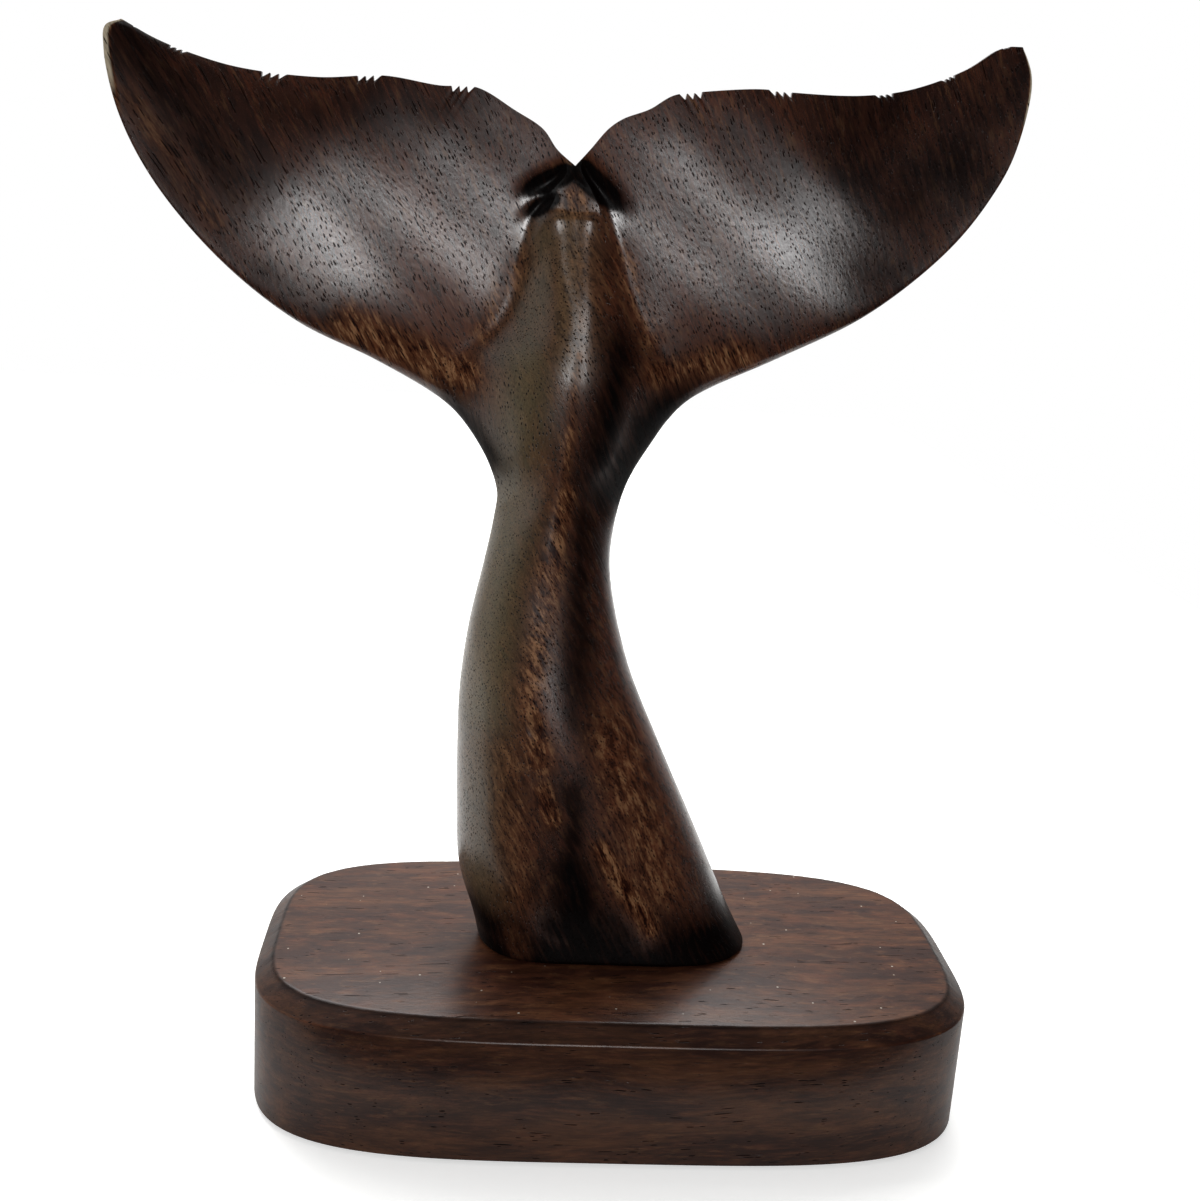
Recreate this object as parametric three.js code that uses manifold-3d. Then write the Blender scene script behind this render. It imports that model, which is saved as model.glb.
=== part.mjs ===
// A carved wooden whale tail on a rounded wooden base.
// Millimetres, +Z up. The viewer stands on the -Y side and +X is to the viewer's right.
// The origin is the middle of the felt's underside, where the piece rests on the table.

import * as THREE from 'three';
import { mergeVertices } from 'three/addons/utils/BufferGeometryUtils.js';
import Module from 'manifold-3d';

// Base block
const BASE_LENGTH = 200;
const BASE_DEPTH = 106;
const BASE_HEIGHT = 39.3;
const BASE_SQUARENESS = 3.85; // exponent of the rounded plan: 2 is an ellipse, large is a rectangle
const CHAMFER_INSET = 5;
const CHAMFER_DROP = 4.1;
const BOTTOM_ROUND = 0.8;

// Felt under the base
const FELT_THICKNESS = 1;
const FELT_INSET = 3;

// Wood screws from below, one each side of the middle
const SCREW_SPACING = 36;
const SCREW_LENGTH = 60;
const SHANK_DIAMETER = 5;
const CORE_DIAMETER = 3.5; // under the thread, in the foot
const HEAD_DIAMETER = 10;
const HEAD_RIM = 0.6;
const HEAD_SINK = 0.5; // how far the head lies inside the base
const POINT_LENGTH = 6;
const DRIVE_WIDTH = 1.2;
const DRIVE_SPAN = 5.5;
const DRIVE_DEPTH = 2;
const SCREW_CLEARANCE = 0.3;

// Tail stock. Heights are above the base, x is from the middle of the base.
const FOOT_LEFT = 38.6;
const FOOT_RIGHT = 39.2;
const FOOT_THICKNESS = 38;
const FOOT_ROUND = 1.5;
const BELLY_LEFT = 47.2;
const BELLY_HEIGHT = 60;
const BELLY_THICKNESS = 42;
const NECK_HEIGHT = 121;
const NECK_LEFT = 40;
const NECK_RIGHT = -6.9; // the right side of the neck lies left of the middle
const NECK_THICKNESS = 29;
const NECK_SET_BACK = 5;
const FOOT_SQUARENESS = 4.5; // exponents of the section: near 1 is a diamond, large is a rectangle
const BELLY_SQUARENESS = 2.4;
const KEEL_SQUARENESS = 2;
const STOCK_ROUNDNESS = 0.53; // exponents of the flanks: small stands steep, large flows out like a bell
const NECK_ROUNDNESS = 0.62;
const KEEL_ROUNDNESS = 2;

// Keel, the ridge that runs up the front of the stock and ends at the notch between the flukes
const RIDGE_FOOT_X = -5.5;
const RIDGE_BELLY_X = -26;
const RIDGE_BELLY_HEIGHT = 84; // where the ridge lies furthest left
const RIDGE_ROOT_X = -18.5;
const ROOT_HEIGHT = 160;
const ROOT_THICKNESS = 29.2;
const ROOT_SET_BACK = 6;
const KEEL_SPREAD = 62; // width over which the keel flows out into the flukes, at the root
const FACET_HEIGHT = 203.5; // where the keel is cut off to a small three-cornered end facet
const FACET_SPREAD = 28;
const FACET_THICKNESS = 16;
const FACET_SET_BACK = 5.5;
const NOTCH_X = -23.2;
const NOTCH_HEIGHT = 214.9;
const NOTCH_SPREAD = 12;
const NOTCH_THICKNESS = 6.4;
const NOTCH_SET_BACK = 4;

// Flukes
const LEFT_TIP_X = -134.3;
const LEFT_TIP_HEIGHT = 239.6;
const LEFT_SHOULDER_X = -55.3;
const LEFT_SHOULDER_HEIGHT = 152.7;
const RIGHT_TIP_X = 81.5;
const RIGHT_TIP_HEIGHT = 248.7;
const RIGHT_SHOULDER_X = 11.6;
const RIGHT_SHOULDER_HEIGHT = 156.5;
const TIP_CURL = 20.5; // how far the tips come forward of the middle of the base
const SHOULDER_SET_BACK = 8;
const BOWL_DEPTH = 5.8; // hollow of a fluke between its two edges, halfway out
const BOWL_SKEW = 1.1; // at the shoulder: 0 is deepest in the middle, 1 near the leading edge
const SHOULDER_THICKNESS = 16;
const FLUKE_THICKNESS = 7; // along the leading edge, halfway out
const TRAILING_THICKNESS = 1.6;
const LEADING_ROUND = 22; // how far from the leading edge a fluke starts to round over
const LEADING_ROUND_SHARE = 0.8; // and at most this share of its chord

// Nicks in the trailing edge
const NICK_PITCH = 2.8;
const NICK_DEPTH = 2;
const NICKS_PER_GROUP = 3;
const NICK_REACH = 24; // through the edge, front to back

// Fineness of the carving
const STOCK_RIBS = 18;
const ROOT_RIBS = 12;
const FLUKE_RIBS = 26;
const RIB_STEPS = 14;
const PLAN_POINTS = 72;
const ROUND_SIDES = 24;

const BASE_TOP = FELT_THICKNESS + BASE_HEIGHT;
const HEAD_BOTTOM = FELT_THICKNESS + HEAD_SINK;
const SCREW_TOP = HEAD_BOTTOM + SCREW_LENGTH;
const SCREW_PLACES = [-SCREW_SPACING / 2, SCREW_SPACING / 2];

const wasm = await Module();
wasm.setup();

// Solids and cuts

function toSolid(geometry) {
  const bare = geometry.clone();
  bare.deleteAttribute('normal');
  bare.deleteAttribute('uv');
  const merged = mergeVertices(bare, 1e-4);
  const mesh = new wasm.Mesh({
    numProp: 3,
    vertProperties: new Float32Array(merged.attributes.position.array),
    triVerts: new Uint32Array(merged.index.array),
  });
  return new wasm.Manifold(mesh);
}

function toGeometry(solid) {
  const mesh = solid.getMesh();
  const geometry = new THREE.BufferGeometry();
  geometry.setAttribute('position', new THREE.BufferAttribute(mesh.vertProperties, 3));
  geometry.setIndex(new THREE.BufferAttribute(mesh.triVerts, 1));
  geometry.computeVertexNormals();
  return geometry;
}

function cut(geometry, tools) {
  let solid = toSolid(geometry);
  for (const tool of tools) solid = solid.subtract(toSolid(tool));
  return toGeometry(solid);
}

// A list of corner triples becomes a geometry, without the triangles that close to a line.
function fromTriangles(triangles) {
  const kept = triangles.filter(([a, b, c]) => {
    const area = new THREE.Vector3().crossVectors(b.clone().sub(a), c.clone().sub(a));
    return area.length() > 1e-7;
  });
  return new THREE.BufferGeometry().setFromPoints(kept.flat());
}

function quad(a, b, c, d, flip) {
  return flip ? [[a, c, b], [a, d, c]] : [[a, b, c], [a, c, d]];
}

// A solid of revolution about Z from radius and height pairs, moved to x.
function turned(profile, x) {
  const points = profile.map(([radius, height]) => new THREE.Vector2(radius, height));
  const geometry = new THREE.LatheGeometry(points, ROUND_SIDES);
  geometry.rotateX(Math.PI / 2);
  return geometry.translate(x, 0, 0);
}

// Curves

const between = (from, to, share) => from + (to - from) * share;

// A smooth value along a line, through pairs of place and value.
function smooth(pairs) {
  const slope = (i) => {
    const before = pairs[Math.max(i - 1, 0)];
    const after = pairs[Math.min(i + 1, pairs.length - 1)];
    return (after[1] - before[1]) / (after[0] - before[0]);
  };
  return (place) => {
    let i = 0;
    while (i < pairs.length - 2 && place > pairs[i + 1][0]) i += 1;
    const [start, from] = pairs[i];
    const [end, to] = pairs[i + 1];
    const step = end - start;
    const t = THREE.MathUtils.clamp((place - start) / step, 0, 1);
    const ease = t * t * (3 - 2 * t);
    const leave = t * (1 - t) * (1 - t) * step * slope(i);
    const arrive = t * t * (t - 1) * step * slope(i + 1);
    return between(from, to, ease) + leave + arrive;
  };
}

// An outline in the plane that faces the viewer, through x and height pairs.
function outline(points) {
  const corners = points.map(([x, height]) => new THREE.Vector3(x, 0, BASE_TOP + height));
  return new THREE.CatmullRomCurve3(corners, false, 'centripetal');
}

// How far along a curve, from 0 to 1, a test on its points turns from true to false.
function shareWhere(curve, before) {
  let low = 0;
  let high = 1;
  for (let i = 0; i < 40; i += 1) {
    const middle = (low + high) / 2;
    if (before(curve.getPointAt(middle))) low = middle;
    else high = middle;
  }
  return (low + high) / 2;
}

const shareAtHeight = (curve, z) => shareWhere(curve, (point) => point.z < z);

// Tail outlines. Points between two named places are given as shares of the way from one to the other.

function through(from, to, shares) {
  const middle = shares.map(([x, height]) => [between(from[0], to[0], x), between(from[1], to[1], height)]);
  return [from, ...middle, to];
}

const NOTCH = [NOTCH_X, NOTCH_HEIGHT];

const ridge = outline([
  ...through([RIDGE_FOOT_X, 0], [RIDGE_BELLY_X, RIDGE_BELLY_HEIGHT], [[0.585, 0.412], [0.854, 0.718]]),
  ...through([RIDGE_BELLY_X, RIDGE_BELLY_HEIGHT], [RIDGE_ROOT_X, ROOT_HEIGHT], [
    [0.107, 0.251], [0.322, 0.502], [0.698, 0.784],
  ]).slice(1),
  ...through([RIDGE_ROOT_X, ROOT_HEIGHT], NOTCH, [[-0.128, 0.309], [0.529, 0.625]]).slice(1),
]);

const LEFT_FOOT = [-FOOT_LEFT, 0];
const LEFT_BELLY = [-BELLY_LEFT, BELLY_HEIGHT];
const LEFT_NECK = [-NECK_LEFT, NECK_HEIGHT];
const LEFT_SHOULDER = [LEFT_SHOULDER_X, LEFT_SHOULDER_HEIGHT];
const LEFT_TIP = [LEFT_TIP_X, LEFT_TIP_HEIGHT];

const leftSide = {
  sign: -1,
  neckX: -NECK_LEFT,
  keelShare: 0.54,
  outer: outline([
    ...through(LEFT_FOOT, LEFT_BELLY, [[0.27, 0.147], [0.77, 0.37], [0.92, 0.663]]),
    ...through(LEFT_BELLY, LEFT_NECK, [[0.014, 0.246], [0.264, 0.528], [0.722, 0.811]]).slice(1),
    ...through(LEFT_NECK, LEFT_SHOULDER, [[-0.046, 0.253], [0.118, 0.5], [0.605, 0.832]]).slice(1),
    ...through(LEFT_SHOULDER, LEFT_TIP, [
      [0.225, 0.113], [0.473, 0.217], [0.706, 0.383], [0.898, 0.594], [0.99, 0.771], [1.02, 0.936],
    ]).slice(1),
  ]),
  trailing: outline(through(NOTCH, LEFT_TIP, [
    [0.044, 0.147], [0.079, 0.333], [0.145, 0.492], [0.232, 0.678], [0.315, 0.67], [0.437, 0.719],
    [0.579, 0.653], [0.741, 0.677], [0.832, 0.758], [0.909, 0.868], [0.971, 1],
  ])),
  shoulder: LEFT_SHOULDER,
  nicks: [[0.263, 1], [0.469, 1], [0.669, 1], [0.861, 0.6], [0.966, 0.35]],
};

const RIGHT_FOOT = [FOOT_RIGHT, 0];
const RIGHT_NECK = [NECK_RIGHT, NECK_HEIGHT];
const RIGHT_SHOULDER = [RIGHT_SHOULDER_X, RIGHT_SHOULDER_HEIGHT];
const RIGHT_TIP = [RIGHT_TIP_X, RIGHT_TIP_HEIGHT];

const rightSide = {
  sign: 1,
  neckX: NECK_RIGHT,
  keelShare: 0.46,
  outer: outline([
    ...through(RIGHT_FOOT, RIGHT_NECK, [
      [0.145, 0.103], [0.393, 0.301], [0.642, 0.496], [0.866, 0.686], [1.007, 0.897],
    ]),
    ...through(RIGHT_NECK, RIGHT_SHOULDER, [[0.147, 0.359], [0.49, 0.67], [0.699, 0.834]]).slice(1),
    ...through(RIGHT_SHOULDER, RIGHT_TIP, [
      [0.305, 0.132], [0.584, 0.259], [0.769, 0.383], [0.9, 0.5], [0.986, 0.612], [1.041, 0.72],
      [1.063, 0.873], [1.052, 0.933], [1.025, 0.974],
    ]).slice(1),
  ]),
  trailing: outline(through(NOTCH, RIGHT_TIP, [
    [0.034, 0.125], [0.076, 0.286], [0.109, 0.361], [0.17, 0.44], [0.225, 0.548], [0.293, 0.586],
    [0.43, 0.63], [0.506, 0.619], [0.661, 0.622], [0.77, 0.68], [0.886, 0.833], [0.948, 0.974],
    [0.975, 1],
  ])),
  shoulder: RIGHT_SHOULDER,
  nicks: [[0.265, 1], [0.476, 1], [0.712, 0.7], [0.849, 0.5], [0.963, 0.35]],
};

// Depth of the tail, by height for the stock and keel and by reach for the flukes.
// Reach is -1 at the neck, 0 on the rib that ends at the notch and 1 at the tip.

const halfDepth = smooth([
  [0, FOOT_THICKNESS / 2],
  [BELLY_HEIGHT, BELLY_THICKNESS / 2],
  [NECK_HEIGHT, NECK_THICKNESS / 2],
  [ROOT_HEIGHT, ROOT_THICKNESS / 2],
  [FACET_HEIGHT, FACET_THICKNESS / 2],
  [NOTCH_HEIGHT, NOTCH_THICKNESS / 2],
]);
const setBack = smooth([
  [0, 0],
  [NECK_HEIGHT, NECK_SET_BACK],
  [ROOT_HEIGHT, ROOT_SET_BACK],
  [FACET_HEIGHT, FACET_SET_BACK],
  [NOTCH_HEIGHT, NOTCH_SET_BACK],
]);
const squareness = smooth([
  [0, FOOT_SQUARENESS],
  [BELLY_HEIGHT, BELLY_SQUARENESS],
  [NECK_HEIGHT, KEEL_SQUARENESS],
  [NOTCH_HEIGHT, KEEL_SQUARENESS],
]);
const roundness = smooth([
  [0, STOCK_ROUNDNESS],
  [BELLY_HEIGHT, STOCK_ROUNDNESS],
  [NECK_HEIGHT, NECK_ROUNDNESS],
  [ROOT_HEIGHT, KEEL_ROUNDNESS],
  [NOTCH_HEIGHT, KEEL_ROUNDNESS],
]);
const trailingY = smooth([
  [0, NOTCH_SET_BACK],
  [0.25, between(NOTCH_SET_BACK, -TIP_CURL, 0.163)],
  [0.5, between(NOTCH_SET_BACK, -TIP_CURL, 0.327)],
  [0.75, between(NOTCH_SET_BACK, -TIP_CURL, 0.633)],
  [1, -TIP_CURL],
]);
const leadingY = smooth([
  [-1, NECK_SET_BACK],
  [0, SHOULDER_SET_BACK],
  [0.25, between(SHOULDER_SET_BACK, -TIP_CURL, 0.21)],
  [0.5, between(SHOULDER_SET_BACK, -TIP_CURL, 0.509)],
  [0.75, between(SHOULDER_SET_BACK, -TIP_CURL, 0.772)],
  [1, -TIP_CURL],
]);
const bowl = smooth([
  [-1, 0],
  [0, BOWL_DEPTH * 0.55],
  [0.25, BOWL_DEPTH * 0.83],
  [0.5, BOWL_DEPTH],
  [0.75, BOWL_DEPTH * 0.53],
  [1, 0],
]);
const bowlSkew = smooth([
  [-1, BOWL_SKEW],
  [0, BOWL_SKEW],
  [0.25, BOWL_SKEW * 0.64],
  [0.5, BOWL_SKEW * 0.36],
  [1, 0],
]);
const leadingHalf = smooth([
  [-1, 0],
  [-0.5, SHOULDER_THICKNESS * 0.45],
  [0, SHOULDER_THICKNESS / 2],
  [0.5, FLUKE_THICKNESS / 2],
  [1, TRAILING_THICKNESS / 2],
]);

// How far the rounded lower edge of the foot draws in at a height.
function footInset(height) {
  const below = Math.max(1 - height / FOOT_ROUND, 0);
  return FOOT_ROUND * (1 - Math.sqrt(1 - below * below));
}

// Half the width of the keel on one side, from the neck up to the notch.
function keelWidth(side) {
  const neckRidge = ridge.getPointAt(shareAtHeight(ridge, BASE_TOP + NECK_HEIGHT)).x;
  return smooth([
    [NECK_HEIGHT, Math.abs(side.neckX - neckRidge)],
    [ROOT_HEIGHT, KEEL_SPREAD * side.keelShare],
    [FACET_HEIGHT, FACET_SPREAD / 2],
    [NOTCH_HEIGHT, NOTCH_SPREAD / 2],
  ]);
}

// Ribs run from the ridge or the trailing edge out to the outer edge.
// They are level on the stock, fan out at the root and lie across the fluke beyond it.
function ribsOf(side) {
  const neckShare = shareAtHeight(side.outer, BASE_TOP + NECK_HEIGHT);
  const shoulderShare = shareAtHeight(side.outer, BASE_TOP + side.shoulder[1]);
  const ribs = [];
  const level = [0, FOOT_ROUND * 0.3, FOOT_ROUND];
  const rising = STOCK_RIBS - level.length;
  for (let i = 1; i <= rising; i += 1) level.push(between(FOOT_ROUND, NECK_HEIGHT, i / rising));
  for (const height of level) {
    const inner = ridge.getPointAt(shareAtHeight(ridge, BASE_TOP + height));
    const outer = side.outer.getPointAt(shareAtHeight(side.outer, BASE_TOP + height));
    inner.z = BASE_TOP + height;
    outer.z = BASE_TOP + height;
    outer.x -= side.sign * footInset(height);
    ribs.push({ inner, outer, reach: -1 });
  }
  for (let i = 1; i <= ROOT_RIBS; i += 1) {
    const share = i / ROOT_RIBS;
    const height = between(NECK_HEIGHT, NOTCH_HEIGHT, share);
    const inner = ridge.getPointAt(shareAtHeight(ridge, BASE_TOP + height));
    const outer = side.outer.getPointAt(between(neckShare, shoulderShare, share));
    ribs.push({ inner, outer, reach: share - 1 });
  }
  for (let i = 1; i <= FLUKE_RIBS; i += 1) {
    const share = i / FLUKE_RIBS;
    const inner = side.trailing.getPointAt(share);
    const outer = side.outer.getPointAt(between(shoulderShare, 1, share));
    ribs.push({ inner, outer, reach: share });
  }
  return ribs;
}

// Half the thickness of the rounded, ridged stock and keel at a point.
function stockHalf(side, rib, along, point, width) {
  const height = point.z - BASE_TOP;
  const depth = halfDepth(height) - footInset(height);
  const ridgeX = ridge.getPointAt(shareAtHeight(ridge, point.z)).x;
  const past = Math.max(height - NOTCH_HEIGHT, 0);
  const away = Math.hypot(point.x - ridgeX, past) / width(height);
  const across = rib.reach === -1 ? along : Math.min(away, 1);
  return depth * (1 - across ** squareness(height)) ** roundness(height);
}

// Half the thickness of a fluke: thin at the trailing edge, rounded at the leading edge.
function flukeHalf(rib, along) {
  const chord = rib.inner.distanceTo(rib.outer);
  const thinning = THREE.MathUtils.clamp(1 + Math.min(rib.reach, 0), 0, 1);
  const trailing = (TRAILING_THICKNESS / 2) * thinning;
  const body = between(trailing, leadingHalf(rib.reach), THREE.MathUtils.smoothstep(along, 0, 0.7));
  const round = Math.min(LEADING_ROUND, LEADING_ROUND_SHARE * chord);
  const inside = round > 0 ? Math.min(((1 - along) * chord) / round, 1) : 0;
  return body * Math.sqrt(1 - (1 - inside) ** 2);
}

function pointsOnRib(side, rib, width) {
  const pairs = [];
  for (let step = 0; step <= RIB_STEPS; step += 1) {
    const along = 0.5 - 0.5 * Math.cos((Math.PI * step) / RIB_STEPS);
    const point = rib.inner.clone().lerp(rib.outer, along);
    const innerY = rib.reach > 0 ? trailingY(rib.reach) : setBack(rib.inner.z - BASE_TOP);
    const outerY = rib.reach > -1 ? leadingY(rib.reach) : innerY;
    const hollow = 4 * along * (1 - along) * (1 + bowlSkew(rib.reach) * (2 * along - 1));
    const middleY = between(innerY, outerY, along) + hollow * bowl(rib.reach);
    const ends = rib.reach === 1 || step === RIB_STEPS;
    const half = ends ? 0 : stockHalf(side, rib, along, point, width) + flukeHalf(rib, along);
    const front = new THREE.Vector3(point.x, middleY - half, point.z);
    const back = new THREE.Vector3(point.x, middleY + half, point.z);
    pairs.push({ front, back });
  }
  return pairs;
}

// One side of the tail, open along the ridge, where it meets the other side.
function sideTriangles(side) {
  const width = keelWidth(side);
  const ribs = ribsOf(side);
  const rows = ribs.map((rib) => pointsOnRib(side, rib, width));
  const isLeft = side.sign < 0;
  const triangles = [];
  for (let i = 0; i < rows.length - 1; i += 1) {
    const low = rows[i];
    const high = rows[i + 1];
    for (let j = 0; j < RIB_STEPS; j += 1) {
      triangles.push(...quad(low[j].front, low[j + 1].front, high[j + 1].front, high[j].front, isLeft));
      triangles.push(...quad(low[j].back, low[j + 1].back, high[j + 1].back, high[j].back, !isLeft));
    }
    if (ribs[i].reach >= 0) {
      triangles.push(...quad(low[0].front, high[0].front, high[0].back, low[0].back, isLeft));
    }
  }
  const foot = rows[0];
  for (let j = 0; j < RIB_STEPS; j += 1) {
    triangles.push(...quad(foot[j].front, foot[j + 1].front, foot[j + 1].back, foot[j].back, !isLeft));
  }
  return triangles;
}

// Saw-tooth nicks: each falls slowly from the tip side and ends in a steep wall towards the notch.
// A group's place is its share of the way from the notch to the tip.
function nickTools(side) {
  const tip = side.trailing.getPointAt(1).x;
  const tools = [];
  for (const [place, scale] of side.nicks) {
    const pitch = NICK_PITCH * scale;
    const depth = NICK_DEPTH * scale;
    const tooth = new THREE.Shape([
      new THREE.Vector2(-pitch, 0),
      new THREE.Vector2(0, -depth),
      new THREE.Vector2(0, depth),
      new THREE.Vector2(-pitch, depth),
    ]);
    const x = between(NOTCH_X, tip, place);
    const share = shareWhere(side.trailing, (point) => (point.x - x) * side.sign < 0);
    const centre = side.trailing.getPointAt(share);
    const inward = side.trailing.getTangentAt(share).negate();
    const turn = Math.atan2(inward.z, inward.x * -side.sign);
    for (let i = 0; i < NICKS_PER_GROUP; i += 1) {
      const tool = new THREE.ExtrudeGeometry(tooth, { depth: NICK_REACH, bevelEnabled: false });
      tool.translate((i - (NICKS_PER_GROUP - 1) / 2) * pitch, 0, -NICK_REACH / 2);
      tool.rotateZ(turn);
      if (side.sign > 0) tool.rotateY(Math.PI);
      tool.rotateX(Math.PI / 2);
      tools.push(tool.translate(centre.x, trailingY(share), centre.z));
    }
  }
  return tools;
}

function whaleTail() {
  const body = fromTriangles([...sideTriangles(leftSide), ...sideTriangles(rightSide)]);
  const pilots = SCREW_PLACES.map((x) => turned([
    [0, BASE_TOP - SCREW_CLEARANCE],
    [CORE_DIAMETER / 2 + SCREW_CLEARANCE, BASE_TOP - SCREW_CLEARANCE],
    [CORE_DIAMETER / 2 + SCREW_CLEARANCE, SCREW_TOP + SCREW_CLEARANCE],
    [0, SCREW_TOP + SCREW_CLEARANCE],
  ], x));
  return cut(body, [...nickTools(leftSide), ...nickTools(rightSide), ...pilots]);
}

// Base, felt and screws

// A solid with the base's rounded plan, from pairs of inset and height.
function planStack(layers) {
  const rings = layers.map(([inset, z]) => {
    const ring = [];
    for (let i = 0; i < PLAN_POINTS; i += 1) {
      const turn = (2 * Math.PI * i) / PLAN_POINTS;
      const power = 2 / BASE_SQUARENESS;
      const x = Math.sign(Math.cos(turn)) * Math.abs(Math.cos(turn)) ** power;
      const y = Math.sign(Math.sin(turn)) * Math.abs(Math.sin(turn)) ** power;
      ring.push(new THREE.Vector3(x * (BASE_LENGTH / 2 - inset), y * (BASE_DEPTH / 2 - inset), z));
    }
    return ring;
  });
  const triangles = [];
  const last = rings.length - 1;
  const bottom = new THREE.Vector3(0, 0, layers[0][1]);
  const top = new THREE.Vector3(0, 0, layers[last][1]);
  for (let i = 0; i < PLAN_POINTS; i += 1) {
    const next = (i + 1) % PLAN_POINTS;
    for (let k = 0; k < last; k += 1) {
      triangles.push(...quad(rings[k][i], rings[k][next], rings[k + 1][next], rings[k + 1][i], false));
    }
    triangles.push([bottom, rings[0][next], rings[0][i]]);
    triangles.push([top, rings[last][i], rings[last][next]]);
  }
  return fromTriangles(triangles);
}

function baseBlock() {
  const bottom = FELT_THICKNESS;
  const corner = BOTTOM_ROUND * (1 - Math.SQRT1_2);
  const block = planStack([
    [BOTTOM_ROUND, bottom],
    [corner, bottom + corner],
    [0, bottom + BOTTOM_ROUND],
    [0, BASE_TOP - CHAMFER_DROP],
    [CHAMFER_INSET, BASE_TOP],
  ]);
  const headRadius = HEAD_DIAMETER / 2 + SCREW_CLEARANCE;
  const shankRadius = SHANK_DIAMETER / 2 + SCREW_CLEARANCE;
  const rim = HEAD_BOTTOM + HEAD_RIM + SCREW_CLEARANCE;
  const holes = SCREW_PLACES.map((x) => turned([
    [0, bottom - SCREW_CLEARANCE],
    [headRadius, bottom - SCREW_CLEARANCE],
    [headRadius, rim],
    [shankRadius, rim + headRadius - shankRadius],
    [shankRadius, BASE_TOP + SCREW_CLEARANCE],
    [0, BASE_TOP + SCREW_CLEARANCE],
  ], x));
  return cut(block, holes);
}

function baseFelt() {
  return planStack([[FELT_INSET, 0], [FELT_INSET, FELT_THICKNESS]]);
}

function baseScrew(x) {
  const headRadius = HEAD_DIAMETER / 2;
  const shankRadius = SHANK_DIAMETER / 2;
  const coreRadius = CORE_DIAMETER / 2;
  const rim = HEAD_BOTTOM + HEAD_RIM;
  const body = turned([
    [0, HEAD_BOTTOM],
    [headRadius, HEAD_BOTTOM],
    [headRadius, rim],
    [shankRadius, rim + headRadius - shankRadius],
    [shankRadius, BASE_TOP - (shankRadius - coreRadius)],
    [coreRadius, BASE_TOP],
    [coreRadius, SCREW_TOP - POINT_LENGTH],
    [0, SCREW_TOP],
  ], x);
  const slot = new THREE.BoxGeometry(DRIVE_SPAN, DRIVE_WIDTH, DRIVE_DEPTH * 2);
  const crossSlot = slot.clone().rotateZ(Math.PI / 2);
  return cut(body, [slot, crossSlot].map((tool) => tool.translate(x, 0, HEAD_BOTTOM)));
}

// The assembly

function piece(name, geometry, colour, roughness, metalness) {
  const material = new THREE.MeshStandardMaterial({ color: colour, roughness, metalness });
  const mesh = new THREE.Mesh(geometry, material);
  mesh.name = name;
  return mesh;
}

const STAINED_WOOD = '#3a211a';
const STAINED_BASE = '#3f2720';
const ZINC_STEEL = '#b9bcc0';
const DARK_FELT = '#23201e';

const sculpture = new THREE.Group();
sculpture.add(piece('whale_tail', whaleTail(), STAINED_WOOD, 0.38, 0));
sculpture.add(piece('base_block', baseBlock(), STAINED_BASE, 0.42, 0));
sculpture.add(piece('base_screw_left', baseScrew(SCREW_PLACES[0]), ZINC_STEEL, 0.35, 1));
sculpture.add(piece('base_screw_right', baseScrew(SCREW_PLACES[1]), ZINC_STEEL, 0.35, 1));
sculpture.add(piece('base_felt', baseFelt(), DARK_FELT, 0.95, 0));

export default sculpture;
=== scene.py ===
# %% [markdown]
# # A carved whale tail on a wooden base
# The real object is a hand carving: one piece of dark-stained hardwood, shaped into a keeled stock and two
# cupped flukes, screwed from below to a rounded base block with felt under it. The solids of the frame hold
# the sizes. This lesson makes the fine surface around them: the carved form, the wood and its lacquer.

# %% Load the frame
import math

import bmesh
import bpy
import numpy as np
from mathutils import Matrix, Vector


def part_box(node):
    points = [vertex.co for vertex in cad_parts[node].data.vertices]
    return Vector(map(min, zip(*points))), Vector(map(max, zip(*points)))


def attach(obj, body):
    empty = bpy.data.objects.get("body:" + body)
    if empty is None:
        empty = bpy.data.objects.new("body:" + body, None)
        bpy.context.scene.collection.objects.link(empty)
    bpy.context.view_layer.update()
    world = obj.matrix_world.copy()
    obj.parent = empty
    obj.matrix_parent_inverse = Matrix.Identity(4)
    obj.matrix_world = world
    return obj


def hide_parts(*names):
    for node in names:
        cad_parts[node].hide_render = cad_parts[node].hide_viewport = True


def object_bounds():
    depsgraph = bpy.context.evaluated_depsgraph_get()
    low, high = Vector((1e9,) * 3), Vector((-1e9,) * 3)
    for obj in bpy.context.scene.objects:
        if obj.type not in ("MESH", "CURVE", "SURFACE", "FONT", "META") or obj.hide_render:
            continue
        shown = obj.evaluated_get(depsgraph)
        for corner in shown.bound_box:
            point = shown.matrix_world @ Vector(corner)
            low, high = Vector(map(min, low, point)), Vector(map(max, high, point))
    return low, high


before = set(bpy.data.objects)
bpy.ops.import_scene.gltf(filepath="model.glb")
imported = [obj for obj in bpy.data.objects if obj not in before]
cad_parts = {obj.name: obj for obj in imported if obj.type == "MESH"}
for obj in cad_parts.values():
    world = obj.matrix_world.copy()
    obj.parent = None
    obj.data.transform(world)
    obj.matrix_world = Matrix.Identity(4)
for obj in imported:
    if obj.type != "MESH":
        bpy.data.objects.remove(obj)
cad_low, cad_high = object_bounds()
MM = 0.001
BODY = "root"
print("solids:", sorted(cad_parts))
print("box in mm:", [round(v / MM, 1) for v in cad_high - cad_low])

# %% [markdown]
# ## The camera
# The photograph was taken from a little above, slightly from the left, with the camera tipped to one side.
# Pitch, yaw, roll and distance were found by fitting the base's outline. The focal length in pixels becomes
# a lens in millimetres through the sensor's size. The roll turns the right and up directions together.

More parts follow.
